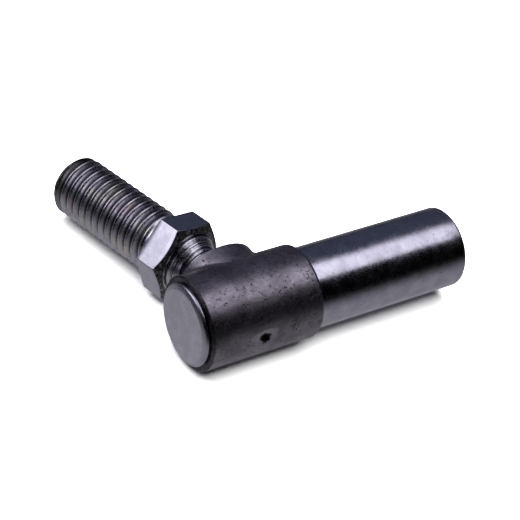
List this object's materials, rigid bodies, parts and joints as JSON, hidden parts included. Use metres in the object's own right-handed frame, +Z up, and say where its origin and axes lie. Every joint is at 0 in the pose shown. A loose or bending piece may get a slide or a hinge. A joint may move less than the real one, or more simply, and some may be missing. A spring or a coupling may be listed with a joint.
{
  "type": "angle ball joint",
  "caption": "Angle ball joint: a hexagon ball stud with external thread swivels in a round bar that is tapped at its far end and closed by a collared sleeve.",
  "frame": {"origin": "on the bar's axis, in the plane of its tapped end face", "axes": "+X along the bar's axis, out of the tapped hole; +Y along the axis of the ball's bore and collar, the way the stud leaves; +Z up, with the joint lying as it rests on a table"},
  "size_m": [0.0497, 0.0466, 0.0144],
  "materials": {
    "plated_bar": "bright zinc plating",
    "sleeve_steel": "satin, slightly stained plating",
    "cup_steel": "oiled bare steel",
    "plated_stud": "zinc plating, turned"
  },
  "bodies": {
    "housing": {"bar_body": "plated_bar", "collared_sleeve": "sleeve_steel"},
    "cup": {"socket_cup": "cup_steel"},
    "stud": {"ball_stud": "plated_stud"}
  },
  "joints": [
    {"name": "cup_turn", "type": "hinge", "parent": "housing", "child": "cup", "pos_m": [-0.0373, 0.0046, 0], "axis": [0, 1, 0], "continuous": true},
    {"name": "stud_tilt", "type": "hinge", "parent": "cup", "child": "stud", "pos_m": [-0.0373, 0.0046, 0], "axis": [-0.217, 0, 0.9762], "range_deg": [-33.36, 6.64]}
  ]
}
